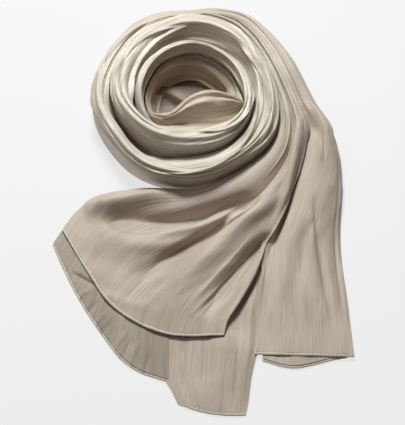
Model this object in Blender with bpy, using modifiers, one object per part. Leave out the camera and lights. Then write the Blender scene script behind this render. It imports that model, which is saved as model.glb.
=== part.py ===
"""A long satin hijab headscarf, wound into a loose coil and laid flat with its two ends spread.

Lengths in the tables are millimetres from the coil's axis, angles are degrees clockwise from the
left as seen from above. The scene is in metres with +Z up, and the cloth lies on the plane z = 0.
"""

import math
from collections import namedtuple

import bmesh
import bpy
import numpy as np

MM = 0.001
WALL = 2.0            # thickness of the modelled cloth
GAP = 0.6             # space left between neighbouring pieces
SEAM = 0.5            # space left at a hem or where one stretch follows another
COIL_X = -8.87        # the coil's axis in the part's frame
COIL_Y = 129.01
HEM_WIDTH = 5.0       # overlocked hem, across
HEM_THICK = 2.4
FLOOR_LAYER = 2.2     # top of a panel that lies straight on the table
HOLLOW_FLOOR = 12.0   # height of the hidden layers inside the coil's hollow
CORE_TOP = 26.0       # height of the hidden layers under the turns
CORE_Y = 14.0         # middle of the hidden layers, beyond the coil's axis
CORE_CLEAR = 10.0     # from the centre fold's foot to where the hidden layers rise
CORE_SHOULDER = 10.0  # over which they rise
CORE_FOOT = 0.06      # height of their edge, as a share of their top
TURN_STEP = 9.0       # degrees between sections of a turn
TURN_POINTS = 12      # points across a turn

Turn = namedtuple("Turn", "angle crest height valley dip")
TURNS = [
    Turn(-50, 64.6, 45, 66.5, 41),
    Turn(-30, 65.0, 54, 71.0, 42),
    Turn(0, 64.0, 62, 72.0, 42),
    Turn(30, 61.5, 64, 72.0, 36),
    Turn(60, 61.5, 66, 72.0, 32),
    Turn(90, 61.5, 68, 71.0, 30),
    Turn(120, 58.0, 68, 68.0, 30),
    Turn(150, 58.0, 67, 68.0, 34),
    Turn(180, 63.0, 66, 73.0, 40),
    Turn(210, 70.0, 65, 78.5, 43),
    Turn(240, 69.5, 64, 84.0, 41),
    Turn(270, 65.6, 64, 85.6, 39),
    Turn(300, 71.5, 63, 90.5, 36),
    Turn(330, 80.0, 62, 97.0, 34),
    Turn(360, 86.0, 60, 101.0, 36),
    Turn(390, 89.0, 60, 105.0, 38),
    Turn(420, 95.5, 60, 111.0, 40),
    Turn(450, 101.0, 60, 121.0, 41),
    Turn(480, 95.0, 60, 109.0, 39),
    Turn(510, 85.0, 60, 99.5, 37),
    Turn(540, 84.0, 58, 102.5, 34),
    Turn(570, 91.5, 55, 113.5, 29),
    Turn(600, 95.6, 52, 112.0, 22),
    Turn(630, 98.5, 50, 115.0, 13),
    Turn(660, 102.5, 47, 113.5, 5),
    Turn(690, 104.5, 45, 116.5, 1),
    Turn(720, 111.0, 44, 124.5, 1),
    Turn(750, 114.0, 42, 129.5, 1),
    Turn(780, 124.0, 40, 140.5, 1),
    Turn(810, 132.0, 37, 148.0, 1),
]

# The centre fold: its lip, its foot in the hollow and its outer edge under the inner turn.
Lip = namedtuple("Lip", "x y z foot_x foot_y foot_z out_x out_y out_z")
BIGHT = [
    Lip(57, -14, 52, 47, -4, 22, 61, -16, 45),
    Lip(41, -7, 55, 38, 2, 18, 54, -30, 43),
    Lip(24, -4, 56, 22, 7, 16, 40, -43, 41),
    Lip(8, -7, 56, 9, 5, 16, 20, -48, 41),
    Lip(-6, -16, 56, -5, -3, 16, 2, -50, 41),
    Lip(-16, -28, 55, -20, -14, 16, -15, -50, 41),
    Lip(-27, -37, 54, -30, -24, 16, -31, -48, 41),
    Lip(-38, -38, 53, -38, -24, 16, -43, -43, 41),
    Lip(-47, -31, 52, -43, -18, 16, -51, -34, 41),
    Lip(-53, -15, 49, -45, -8, 16, -57, -17, 39),
    Lip(-53, 4, 46, -44, 6, 16, -58, 4, 37),
    Lip(-46, 22, 45, -38, 19, 16, -50, 25, 37),
    Lip(-33, 39, 44, -27, 32, 16, -36, 43, 37),
    Lip(-15, 49, 44, -12, 40, 16, -16, 54, 37),
    Lip(6, 50, 44, 5, 41, 16, 7, 55, 37),
    Lip(25, 40, 44, 20, 33, 16, 27, 44, 37),
    Lip(39, 25, 45, 32, 20, 17, 43, 28, 38),
    Lip(49, 9, 46, 42, 8, 18, 54, 9, 38),
    Lip(54, -3, 47, 45, 2, 20, 58, -3, 40),
]

# The left end's upper layer: its coil side, middle crease and right side, the heights of the two
# rolls between them, and how far the row bows out in each half.
Row = namedtuple("Row", "x y z crease_x crease_y crease_z right_x right_y right_z roll fold bow bow_right")
LEFT_UPPER = [
    Row(-2.6, 122, 42, -2.6, 127, 42.5, -2.6, 133, 40, 0, 0, 0, 0),
    Row(11, 121, 42, 14, 126, 42, 19, 132, 40, 1, 1, 0, 0),
    Row(40, 108, 42, 49, 114, 42, 59, 120, 40, 2, 3, 0, 0),
    Row(59, 91, 41, 71, 95, 41, 82, 98, 40, 3, 4, 0, 0),
    Row(76, 69, 40, 87, 69, 40, 99, 70, 38, 4, 5, 0, 0),
    Row(86, 48, 39, 99, 43, 39, 112, 41, 37, 4, 6, 0, 0),
    Row(95, 23, 38, 108, 18, 38, 122, 15, 36, 5, 7, 0, 0),
    Row(102, 2, 36, 115, -4, 37, 130, -8, 35, 5, 8, 0, 0),
    Row(104, -19, 35, 119, -25, 36, 138, -28, 34, 6, 9, 0, 0),
    Row(102, -42, 34, 121, -46, 34, 142, -45, 32, 7, 9, 0, 0),
    Row(91, -71, 31, 116, -75, 31, 136, -72, 29, 8, 9, 0, 0),
    Row(67, -91, 27, 101, -105, 27, 127, -101, 25, 9, 10, 0, 0),
    Row(42, -104, 23, 76, -134, 22, 115, -130, 21, 10, 10, 0, 0),
    Row(15, -115, 18, 50, -150, 17, 102, -162, 17, 10, 9, 0, 2),
    Row(-21, -117, 13, 23, -177, 13, 89, -192, 14, 9, 8, 1, 3),
    Row(-55, -114, 10, -9, -197, 11, 77, -219, 12, 8, 7, 2, 5),
    Row(-90, -117, 8, -32, -217, 9, 63, -247, 11, 6, 6, 3, 8),
    Row(-117, -126, 7, -57, -239, 7.5, 50, -271, 9, 5, 5, 3, 11),
    Row(-140, -145, 6, -76, -258, 6.2, 41, -288, 7.4, 3, 3, 3, 13),
    Row(-153, -166, 5.2, -87, -270, 5.2, 34, -297, 6, 0.8, 1, 3, 15),
]

# The right end's upper layer: its left side, its foot on the table and the height of its roll.
Band = namedtuple("Band", "x y z foot_x foot_y foot_z roll")
RIGHT_UPPER = [
    Band(-2.6, 134, 39.5, -2.6, 148, 1.3, 0),
    Band(20, 133, 39.5, 27, 145, 1.3, 1),
    Band(60, 121.5, 40, 63, 136, 1.3, 1),
    Band(83, 99, 40, 93, 110, 1.3, 2),
    Band(100, 71, 38, 118, 78, 1.3, 3),
    Band(113, 41, 37, 134, 47, 1.3, 4),
    Band(123, 15, 36, 146, 17, 1.3, 4),
    Band(131, -8, 35, 155, -4, 1.3, 5),
    Band(139, -28, 34, 165, -24, 1.3, 5),
    Band(143, -45, 32, 173, -43, 1.3, 6),
    Band(137, -72, 29, 180, -68, 1.3, 6),
    Band(128, -101, 25, 182, -100, 1.3, 6),
    Band(116, -130, 21, 180, -130, 1.3, 6),
    Band(103, -162, 17, 177, -160, 1.3, 5),
    Band(90, -192, 13, 176, -190, 1.3, 4),
    Band(84, -223, 9, 177, -220, 1.5, 3),
    Band(80, -262, 7.5, 180, -258, 3, 2),
    Band(76, -300, 6.5, 182, -297, 4.2, 1),
    Band(74, -327, 6.2, 184, -330, 4.2, 0),
]

# Panels that lie on the table, a row across each from its hidden side to the side that shows.
Strip = namedtuple("Strip", "x y end_x end_y bow")
LEFT_UNDER = [
    Strip(-150, -158, -164, -184, 0),
    Strip(-128, -172, -154, -207, 0),
    Strip(-112, -202, -139, -239, 0),
    Strip(-92, -232, -121, -272, 0),
    Strip(-72, -256, -99, -306, 0),
    Strip(-52, -270, -79, -333, 0),
    Strip(-42, -276, -57, -349, 0),
    Strip(-31.6, -280, -31.6, -362, 0),
]
MIDDLE_FALL = [
    Strip(-26, -205, 88, -182, 0),
    Strip(-30, -235, 83, -222, 0),
    Strip(-31, -265, 80, -252, 0),
    Strip(-31, -290, 77, -285, 0),
    Strip(-31, -315, 75, -315, 0),
    Strip(-31, -338, 71, -337, 2),
    Strip(-30, -360, 67, -360, 4),
    Strip(-23, -374, 64, -383, 6),
    Strip(-17, -387, 61, -400, 5),
]
RIGHT_UNDER = [
    Strip(82, -290, 80, -334, 0),
    Strip(100, -290, 101, -341, 0),
    Strip(118, -290, 118, -343, 0),
    Strip(140, -290, 138, -339, 0),
    Strip(158, -292, 160, -333, 0),
    Strip(170, -294, 176, -330, 0),
]

# How far the hidden layers reach from their middle, towards the neck of the two ends too.
Reach = namedtuple("Reach", "angle reach")
CORE = [
    Reach(0, 118), Reach(30, 112), Reach(60, 112), Reach(90, 118), Reach(120, 118), Reach(150, 120),
    Reach(180, 136), Reach(200, 163), Reach(215, 190), Reach(230, 195), Reach(245, 165),
    Reach(260, 130), Reach(280, 118), Reach(300, 115), Reach(330, 115), Reach(360, 118),
]

# Folds laid along a piece: place across it at both ends of the fold (0 to 1), where it starts and
# stops along the piece (0 to 1), its half width as a share of the piece and its height.
Fold = namedtuple("Fold", "across across_end start stop width height")
INNER_FOLDS = [
    Fold(0.72, 0.66, 0.50, 1.05, 0.055, 1.8),
    Fold(0.86, 0.82, 0.55, 1.05, 0.045, 1.5),
    Fold(0.30, 0.22, -0.05, 0.55, 0.060, -1.4),
    Fold(0.62, 0.70, 0.05, 0.45, 0.050, 1.2),
]
MIDDLE_FOLDS = [
    Fold(0.66, 0.72, -0.05, 0.45, 0.050, 2.0),
    Fold(0.30, 0.25, 0.10, 0.60, 0.050, -1.6),
    Fold(0.78, 0.66, 0.45, 1.05, 0.050, 1.8),
    Fold(0.40, 0.30, 0.60, 1.05, 0.045, 1.6),
]
OUTER_FOLDS = [
    Fold(0.66, 0.60, -0.05, 0.50, 0.050, 2.0),
    Fold(0.80, 0.76, -0.05, 0.40, 0.045, 1.6),
    Fold(0.34, 0.42, 0.20, 0.90, 0.050, -1.8),
    Fold(0.62, 0.72, 0.45, 1.05, 0.050, 2.2),
]
BIGHT_FOLDS = [
    Fold(0.66, 0.60, 0.02, 0.40, 0.070, 2.2),
    Fold(0.82, 0.78, 0.10, 0.38, 0.060, -2.0),
]
LEFT_UPPER_FOLDS = [
    Fold(0.30, 0.22, 0.30, 0.78, 0.040, 2.2),
    Fold(0.80, 0.88, 0.55, 0.98, 0.045, -4.0),
    Fold(0.72, 0.80, 0.60, 1.05, 0.030, 2.5),
    Fold(0.97, 1.00, 0.66, 1.05, 0.030, 3.0),
    Fold(0.18, 0.12, 0.62, 0.95, 0.050, -2.2),
    Fold(0.62, 0.66, 0.50, 0.90, 0.040, 2.0),
]
RIGHT_UPPER_FOLDS = [
    Fold(0.30, 0.22, 0.40, 1.02, 0.045, 2.2),
    Fold(0.52, 0.48, 0.48, 1.00, 0.050, -2.0),
    Fold(0.70, 0.78, 0.38, 0.90, 0.045, 2.0),
    Fold(0.45, 0.36, 0.20, 0.60, 0.050, -2.4),
]
LEFT_UNDER_FOLDS = [
    Fold(0.62, 0.80, 0.12, 0.40, 0.08, 1.8),
    Fold(0.68, 0.90, 0.62, 0.92, 0.07, 2.0),
    Fold(0.86, 0.72, 0.78, 1.05, 0.06, 1.6),
]
MIDDLE_FOLDS_FLAT = [
    Fold(0.20, 0.12, 0.55, 1.10, 0.045, 1.6),
    Fold(0.42, 0.34, 0.50, 1.10, 0.050, 1.8),
    Fold(0.66, 0.60, 0.10, 1.10, 0.050, 1.8),
    Fold(0.86, 0.90, 0.05, 1.00, 0.045, 1.6),
]
RIGHT_UNDER_FOLDS = [
    Fold(0.55, 0.85, 0.20, 0.70, 0.10, 1.0),
]


def through(values, at):
    """A smooth value at places counted in steps along a list, by a cubic through its values."""
    values = np.asarray(values, float)
    at = np.clip(np.asarray(at, float), 0, len(values) - 1)
    i = np.minimum(at.astype(int), len(values) - 2)
    u = at - i
    before = values[np.maximum(i - 1, 0)]
    after = values[np.minimum(i + 2, len(values) - 1)]
    a, b = values[i], values[i + 1]
    slope_a = (b - before) / 2
    slope_b = (after - a) / 2
    return (
        a * (1 + 2 * u) * (1 - u) ** 2
        + b * u * u * (3 - 2 * u)
        + slope_a * u * (1 - u) ** 2
        - slope_b * u * u * (1 - u)
    )


def column(rows, name, at):
    """One column of a table at places counted in rows."""
    return through([getattr(row, name) for row in rows], at)


def turn_at(name, angle):
    """One column of the turns at an angle in degrees."""
    angles = [turn.angle for turn in TURNS]
    return column(TURNS, name, np.interp(angle, angles, range(len(angles))))


def polar(radius, angle):
    """Plan position at a radius and an angle clockwise from the left."""
    a = np.radians(angle)
    return -radius * np.cos(a), radius * np.sin(a)


def bight_edge(angle):
    """Radius and height of the centre fold's outer edge in a direction from the axis."""
    place = np.linspace(0, len(BIGHT) - 1, 240)
    x = column(BIGHT, "out_x", place)
    y = column(BIGHT, "out_y", place)
    z = column(BIGHT, "out_z", place)
    heading = np.degrees(np.arctan2(y, -x)) % 360
    order = np.argsort(heading)
    radius = np.interp(angle % 360, heading[order], np.hypot(x, y)[order], period=360)
    height = np.interp(angle % 360, heading[order], z[order], period=360)
    return radius, height


def inner_foot(angle):
    """Radius and height where a turn meets the turn or fold inside it."""
    radius, height = bight_edge(angle)
    share = np.clip((angle - 288) / 20, 0, 1)
    share = share * share * (3 - 2 * share)
    radius = radius + (turn_at("valley", angle - 360) - radius) * share
    height = height + (turn_at("dip", angle - 360) - height) * share
    return radius + 2.5 * GAP, height


def relief(folds, along, across):
    """Height of the folds at places along and across a piece, each from 0 to 1."""
    total = np.zeros(np.broadcast(along, across).shape)
    for fold in folds:
        share = np.clip((along - fold.start) / (fold.stop - fold.start), 0, 1)
        middle = fold.across + (fold.across_end - fold.across) * share
        fade = np.clip(np.sin(math.pi * share) * 2.2, 0, 1)
        total = total + fold.height * fade * np.exp(-(((across - middle) / fold.width) ** 2))
    return total


def rolled(foot, crest, out, across):
    """Points over a roll: from its foot up over the crest and down to its outer edge.

    The two halves are quarter ellipses, upright at the edges and level at the crest.
    """
    rising = across[None, :] < 0.5
    a = np.where(rising, across * 2, 2 - across * 2)[None, :] * (math.pi / 2)
    a = a.reshape(1, -1)
    level, lift = 1 - np.cos(a), np.sin(a)
    ends = np.where(rising[..., None], foot[:, None, :], out[:, None, :])
    points = np.empty(ends.shape)
    points[..., :2] = ends[..., :2] + (crest[:, None, :2] - ends[..., :2]) * level[..., None]
    points[..., 2] = ends[..., 2] + (crest[:, None, 2] - ends[..., 2]) * lift
    return points


def normals_of(points):
    """Unit normals of a grid of points."""
    along = np.gradient(points, axis=0)
    across = np.gradient(points, axis=1)
    normal = np.cross(along, across)
    length = np.linalg.norm(normal, axis=-1, keepdims=True)
    return normal / np.maximum(length, 1e-9)


def raised(points, folds):
    """A grid of points moved out along its normals by its folds."""
    rows, across = points.shape[:2]
    height = relief(folds, np.linspace(0, 1, rows)[:, None], np.linspace(0, 1, across)[None, :])
    return points + normals_of(points) * height[..., None]


def material(name, colour, roughness, metallic=0.0):
    made = bpy.data.materials.new(name)
    made.use_nodes = True
    shader = made.node_tree.nodes["Principled BSDF"]
    shader.inputs["Base Color"].default_value = (*colour, 1)
    shader.inputs["Roughness"].default_value = roughness
    shader.inputs["Metallic"].default_value = metallic
    made.diffuse_color = (*colour, 1)
    return made


def grid_faces(rows, across):
    i, j = np.meshgrid(np.arange(rows - 1), np.arange(across - 1), indexing="ij")
    a = i * across + j
    return np.stack([a, a + across, a + across + 1, a + 1], -1).reshape(-1, 4)


def add_mesh(name, points, faces, surface, collection, closed=True):
    """An object at the origin from points in millimetres about the coil's axis."""
    placed = (np.asarray(points, float).reshape(-1, 3) + (COIL_X, COIL_Y, 0)) * MM
    mesh = bpy.data.meshes.new(name)
    mesh.from_pydata(placed.tolist(), [], [tuple(int(v) for v in face) for face in faces])
    mesh.validate()
    if closed:
        shape = bmesh.new()
        shape.from_mesh(mesh)
        bmesh.ops.recalc_face_normals(shape, faces=shape.faces)
        shape.to_mesh(mesh)
        shape.free()
    mesh.materials.append(surface)
    obj = bpy.data.objects.new(name, mesh)
    collection.objects.link(obj)
    return obj


def add_sheet(name, points, surface, collection):
    """A wall of cloth: an open grid of its outer side, thickened inwards."""
    rows, across = points.shape[:2]
    obj = add_mesh(name, points, grid_faces(rows, across), surface, collection, closed=False)
    thick = obj.modifiers.new("Wall", "SOLIDIFY")
    thick.thickness = WALL * MM
    thick.offset = -1
    return obj


def add_closed_grid(name, top, bottom, surface, collection):
    """A body between an upper and a lower grid with the same rim."""
    rows, across = top.shape[:2]
    count = rows * across
    upper = grid_faces(rows, across)
    lower = grid_faces(rows, across)[:, ::-1] + count
    rim = list(range(across))
    rim += [i * across + across - 1 for i in range(1, rows)]
    rim += [(rows - 1) * across + j for j in range(across - 2, -1, -1)]
    rim += [i * across for i in range(rows - 2, 0, -1)]
    sides = [
        (rim[k], rim[k] + count, rim[(k + 1) % len(rim)] + count, rim[(k + 1) % len(rim)])
        for k in range(len(rim))
    ]
    faces = [tuple(face) for face in upper] + [tuple(face) for face in lower] + sides
    return add_mesh(name, np.concatenate([top.reshape(-1, 3), bottom.reshape(-1, 3)]),
                    faces, surface, collection)


def turn_points(start, stop, folds):
    """The outer side of one stretch of the spiral, from one angle to another."""
    count = int(round((stop - start) / TURN_STEP)) + 1
    angle = np.linspace(start, stop, count)
    radius, height = inner_foot(angle)
    foot = np.stack([*polar(radius, angle), height], -1)
    crest = np.stack([*polar(turn_at("crest", angle), angle), turn_at("height", angle)], -1)
    outer = np.stack([*polar(turn_at("valley", angle), angle), turn_at("dip", angle)], -1)
    return raised(rolled(foot, crest, outer, np.linspace(0, 1, TURN_POINTS)), folds)


def bight_points(folds):
    """The centre fold's outer side, from its foot in the hollow over the lip."""
    place = np.linspace(0, len(BIGHT) - 1, 31)
    foot = np.stack([column(BIGHT, name, place) for name in ("foot_x", "foot_y", "foot_z")], -1)
    lip = np.stack([column(BIGHT, name, place) for name in ("x", "y", "z")], -1)
    outer = np.stack([column(BIGHT, name, place) for name in ("out_x", "out_y", "out_z")], -1)
    return raised(rolled(foot, lip, outer, np.linspace(0, 1, 11)), folds)


def across_curve(points, t):
    """A smooth curve through points that are evenly spaced in t from 0 to 1."""
    place = t * (len(points) - 1)
    return np.stack([through([point[k] for point in points], place) for k in range(2)], -1)


def left_upper_points(folds, rows=31, columns=17):
    """The upper layer of the left end: two rolls beside the coil that open into a fan."""
    t = np.linspace(0, 1, columns)
    grid = np.empty((rows, columns, 3))
    for i, place in enumerate(np.linspace(0, len(LEFT_UPPER) - 1, rows)):
        row = Row(*[float(column(LEFT_UPPER, name, place)) for name in Row._fields])
        left = np.array([row.x, row.y])
        crease = np.array([row.crease_x, row.crease_y])
        right = np.array([row.right_x, row.right_y])
        middles = []
        for a, b, bow in ((left, crease, row.bow), (crease, right, row.bow_right)):
            chord = b - a
            side = np.array([chord[1], -chord[0]]) / max(np.linalg.norm(chord), 1e-6)
            middles.append((a + b) / 2 + side * bow)
        grid[i, :, :2] = across_curve([left, middles[0], crease, middles[1], right], t)
        level = np.interp(t, [0, 0.5, 1], [row.z, row.crease_z, row.right_z])
        bump = np.abs(np.sin(2 * math.pi * t)) ** 0.8
        grid[i, :, 2] = level + np.where(t < 0.5, row.roll, row.fold) * bump
    return raised(clear_of_coil(grid), folds)


def clear_of_coil(points):
    """Points beside the coil moved out to its outermost turn."""
    x, y = points[..., 0], points[..., 1]
    heading = np.degrees(np.arctan2(y, -x)) % 360
    radius = np.hypot(x, y)
    least = turn_at("valley", heading + 360) + GAP
    beside = (heading > 88) & (heading < 292) & (radius < least)
    scale = np.where(beside, least / np.maximum(radius, 1), 1)
    return np.stack([x * scale, y * scale, points[..., 2]], -1)


def right_upper_points(folds, rows=29, columns=12):
    """The upper layer of the right end, from the valley beside the left end to the table."""
    t = np.linspace(0, 1, columns)[None, :]
    place = np.linspace(0, len(RIGHT_UPPER) - 1, rows)
    value = {name: column(RIGHT_UPPER, name, place)[:, None] for name in Band._fields}
    reach = 1 - (1 - t) ** 1.25
    drop = np.sqrt(1 - t ** 3)
    grid = np.empty((rows, columns, 3))
    grid[..., 0] = value["x"] + (value["foot_x"] - value["x"]) * reach
    grid[..., 1] = value["y"] + (value["foot_y"] - value["y"]) * reach
    grid[..., 2] = (
        value["foot_z"] + (value["z"] - value["foot_z"]) * drop + value["roll"] * np.sin(math.pi * t)
    )
    return raised(grid, folds)


def flat_panel(table, folds, rows, columns):
    """Upper and lower grids of a panel that lies on the table, with its folds raised on top."""
    place = np.linspace(0, len(table) - 1, rows)
    value = {name: column(table, name, place)[:, None] for name in Strip._fields}
    t = np.linspace(0, 1, columns)[None, :]
    across_x = value["end_x"] - value["x"]
    across_y = value["end_y"] - value["y"]
    length = np.hypot(across_x, across_y)
    bow = value["bow"] * 4 * t * (1 - t)
    lower = np.zeros((rows, columns, 3))
    lower[..., 0] = value["x"] + across_x * t + bow * across_y / length
    lower[..., 1] = value["y"] + across_y * t - bow * across_x / length
    upper = lower.copy()
    along = np.linspace(0, 1, rows)[:, None]
    rim = np.clip(np.minimum(t, 1 - t) * 8, 0, 1)
    upper[..., 2] = FLOOR_LAYER + np.maximum(relief(folds, along, t), -0.6) * rim
    return upper, lower


def add_hem(name, edge, out, surface, collection, height=None):
    """A rolled hem along an edge: a flat oval swept along it, just clear of the panel."""
    turns = np.linspace(0, 2 * math.pi, 8, endpoint=False)
    edge = np.asarray(edge, float)
    side = out / np.linalg.norm(out, axis=-1, keepdims=True)
    centre = edge + side * (HEM_WIDTH / 2 + SEAM)
    centre[:, 2] = edge[:, 2] - WALL / 2 if height is None else height
    ring = (
        centre[:, None, :]
        + side[:, None, :] * (np.cos(turns) * HEM_WIDTH / 2)[None, :, None]
        + np.array([0, 0, 1.0]) * (np.sin(turns) * HEM_THICK / 2)[None, :, None]
    )
    rows = len(ring)
    faces = []
    for i in range(rows - 1):
        for j in range(8):
            a, b = i * 8 + j, i * 8 + (j + 1) % 8
            faces.append((a, b, b + 8, a + 8))
    faces.append(tuple(range(7, -1, -1)))
    faces.append(tuple((rows - 1) * 8 + j for j in range(8)))
    return add_mesh(name, ring, faces, surface, collection)


def outward(grid_edge, inner_edge):
    """Level directions from the line next to an edge towards the edge."""
    step = grid_edge - inner_edge
    step[:, 2] = 0
    return step


def add_core(name, surface, collection):
    """The hidden layers: one rounded body under the coil, low in its hollow and flat below."""
    angle = np.arange(0, 360, 9.0)
    x, y = polar(1, angle)
    place = np.linspace(0, len(BIGHT) - 1, 240)
    foot_x = column(BIGHT, "foot_x", place)
    foot_y = column(BIGHT, "foot_y", place) - CORE_Y
    heading = np.degrees(np.arctan2(foot_y, -foot_x)) % 360
    order = np.argsort(heading)
    hollow = np.interp(angle, heading[order], np.hypot(foot_x, foot_y)[order], period=360)
    edge = np.interp(angle, [row.angle for row in CORE], [row.reach for row in CORE])
    wall = np.max([np.roll(hollow, step) for step in (-2, -1, 0, 1, 2)], axis=0) + CORE_CLEAR
    shoulder = wall + CORE_SHOULDER
    sections = [(hollow * 0.5, HOLLOW_FLOOR - 1), (hollow * 0.96, HOLLOW_FLOOR)]
    for rise in (0.25, 0.6, 0.85, 1.0):
        a = rise * math.pi / 2
        height = HOLLOW_FLOOR + (CORE_TOP - HOLLOW_FLOOR) * math.sin(a)
        sections.append((wall + (shoulder - wall) * (1 - math.cos(a)), height))
    for fall in (0.25, 0.5, 0.72, 0.88, 0.97, 1.0):
        share = math.sqrt(max(1 - fall ** 2.6, 0)) * (1 - CORE_FOOT) + CORE_FOOT
        sections.append((shoulder + (edge - shoulder) * fall, CORE_TOP * share))
    sections.append((edge, 0))
    around = len(angle)
    rings = [
        np.stack([x * radius, CORE_Y + y * radius, np.full(around, float(height))], -1)
        for radius, height in sections
    ]
    centres = [[0, CORE_Y, HOLLOW_FLOOR - 1], [0, CORE_Y, 0]]
    points = np.concatenate(rings + [centres])
    faces = []
    for i in range(len(rings) - 1):
        for j in range(around):
            a, b = i * around + j, i * around + (j + 1) % around
            faces.append((a, a + around, b + around, b))
    top, last = len(points) - 2, (len(rings) - 1) * around
    for j in range(around):
        after = (j + 1) % around
        faces.append((top, j, after))
        faces.append((top + 1, last + after, last + j))
    return add_mesh(name, points, faces, surface, collection)


def main():
    for obj in list(bpy.data.objects):
        bpy.data.objects.remove(obj, do_unlink=True)
    scarf = bpy.data.collections.new("hijab_headscarf")
    bpy.context.scene.collection.children.link(scarf)
    satin = material("champagne_satin", (0.56, 0.47, 0.38), 0.38)
    shaded = material("satin_hidden", (0.36, 0.29, 0.22), 0.6)
    hemmed = material("satin_hem", (0.60, 0.51, 0.42), 0.45)

    add_core("hidden_layers", shaded, scarf)
    add_sheet("bight", bight_points(BIGHT_FOLDS), satin, scarf)
    add_sheet("inner_turn", turn_points(-50, 300, INNER_FOLDS), satin, scarf)
    add_sheet("middle_turn", turn_points(300.6, 600, MIDDLE_FOLDS), satin, scarf)
    add_sheet("outer_turn", turn_points(600.6, 808, OUTER_FOLDS), satin, scarf)

    fan = left_upper_points(LEFT_UPPER_FOLDS)
    add_sheet("left_tail_upper", fan, satin, scarf)
    add_hem("left_upper_hem", fan[-1], outward(fan[-1], fan[-2]), hemmed, scarf)
    band = right_upper_points(RIGHT_UPPER_FOLDS)
    add_sheet("right_tail_upper", band, satin, scarf)
    add_hem("right_upper_hem", band[-1], outward(band[-1], band[-2]), hemmed, scarf)

    for name, table, folds, rows, columns, hem in (
        ("left_tail_under", LEFT_UNDER, LEFT_UNDER_FOLDS, 18, 9, "left_under_hem"),
        ("middle_fall", MIDDLE_FALL, MIDDLE_FOLDS_FLAT, 18, 15, "middle_hem"),
        ("right_tail_under", RIGHT_UNDER, RIGHT_UNDER_FOLDS, 12, 7, "right_under_hem"),
    ):
        upper, lower = flat_panel(table, folds, rows, columns)
        add_closed_grid(name, upper, lower, satin, scarf)
        if name == "middle_fall":
            edge, inside = lower[-1], lower[-2]
        else:
            edge, inside = lower[:, -1], lower[:, -2]
        add_hem(hem, edge, outward(edge, inside), hemmed, scarf, HEM_THICK / 2)


main()
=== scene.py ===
"""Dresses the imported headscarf: crinkled champagne satin, overlocked hems, a pale table and soft light.

Tables and named lengths are millimetres from the coil's axis, unless their comment says metres, and
angles are degrees clockwise from the left as seen from above. Meshes are made in metres, in the frame
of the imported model.
"""

import math
from collections import namedtuple

import bmesh
import bpy
import numpy as np
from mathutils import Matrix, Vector


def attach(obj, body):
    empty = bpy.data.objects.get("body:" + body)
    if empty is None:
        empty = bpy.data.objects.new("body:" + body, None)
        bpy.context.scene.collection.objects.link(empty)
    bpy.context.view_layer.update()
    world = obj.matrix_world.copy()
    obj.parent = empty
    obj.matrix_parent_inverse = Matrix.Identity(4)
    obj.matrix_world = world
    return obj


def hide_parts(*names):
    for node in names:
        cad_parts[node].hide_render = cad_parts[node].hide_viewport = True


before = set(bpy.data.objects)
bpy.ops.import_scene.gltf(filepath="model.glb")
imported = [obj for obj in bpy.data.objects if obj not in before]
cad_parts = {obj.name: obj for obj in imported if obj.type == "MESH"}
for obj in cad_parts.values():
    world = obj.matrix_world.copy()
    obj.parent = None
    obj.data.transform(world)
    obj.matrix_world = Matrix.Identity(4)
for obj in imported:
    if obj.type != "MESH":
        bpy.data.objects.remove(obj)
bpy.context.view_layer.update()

bl_info = {
    "name": "Crinkled satin headscarf",
    "version": (1, 0, 0),
    "blender": (4, 5, 0),
    "location": "3D View > Sidebar > Scarf",
    "description": "Builds the cloth, hems, table and lights of a coiled satin headscarf",
    "category": "Object",
}

MM = 0.001
COIL_X = -8.87         # the coil's axis in the part's frame
COIL_Y = 129.01
GAP = 0.6              # from the coil to the left end beside it
FOOT_CLEAR = 1.5       # from a turn's foot to the turn or fold inside it
FLOOR_LAYER = 2.2      # top of a panel that lies straight on the table
PANEL_GRID = (160, 130)  # points along such a panel and across it

HOLLOW_FLOOR = 12.0    # height of the hidden layers inside the coil's hollow
CORE_TOP = 26.0        # height of the hidden layers under the turns
CORE_Y = 14.0          # middle of the hidden layers, beyond the coil's axis
CORE_CLEAR = 10.0      # from the centre fold's foot to where the hidden layers rise
CORE_SHOULDER = 10.0   # over which they rise
CORE_FOOT = 0.06       # height of their edge, as a share of their top
CORE_HUB = 0.03        # radius of their middle ring, as a share of the ring it closes
CORE_SHIFT = 200.0     # keeps their pattern's places above zero
FLOOR_RINGS = 40       # rings of the hollow's floor

LINE_POINTS = 240      # points read along the centre fold's line
CREASE_STEPS = 24      # straight steps along a crease
TURN_STEP = 2.2        # degrees between the sections of the turns
JOINS = (300, 600)     # where the inner turn ends and where the outer one starts
SPIRAL_FROM = 288      # where a turn's foot passes from the centre fold to the turn inside it
SPIRAL_OVER = 20       # degrees over which it passes
BESIDE_FROM = 88       # directions between which the left end lies beside the coil
BESIDE_TO = 292
LEFT_LOWEST = 4.6      # lowest top of the left end, which lies on the layers below it
SOFT_STOP = 0.6        # over which a trough levels out there
UNDER_LEFT = 1.2       # how far the right end starts below the left end beside it

RUMPLES = 9            # soft ridges laid over each other, and the least and most from one to the next
RUMPLE_NARROW = 9.0
RUMPLE_WIDE = 34.0
RUMPLE_RIM = 6.0       # distance from the edge over which they fade
CRINKLE_RIM = 3.0      # and over which the crinkle fades

HEM_HALF = 0.75        # half the thickness of a hem
HEM_LAP = 0.4          # how far it laps onto the cloth
HEM_GIRTH = 12.0       # way round it on its pattern
HEM_SWELL = 0.07       # height of its stitches
HEM_STEP = 0.8         # between its sections
HEM_SIDES = 14         # points round it
HEM_BLUR = 4           # sections on each side that a section's direction is averaged over

ENDS_SHADE_FROM = 0.140      # metres from the axis where the ends' darker tone, painted shade, is whole
COIL_FROM = 0.108      # and where the coil's brighter one is

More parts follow.
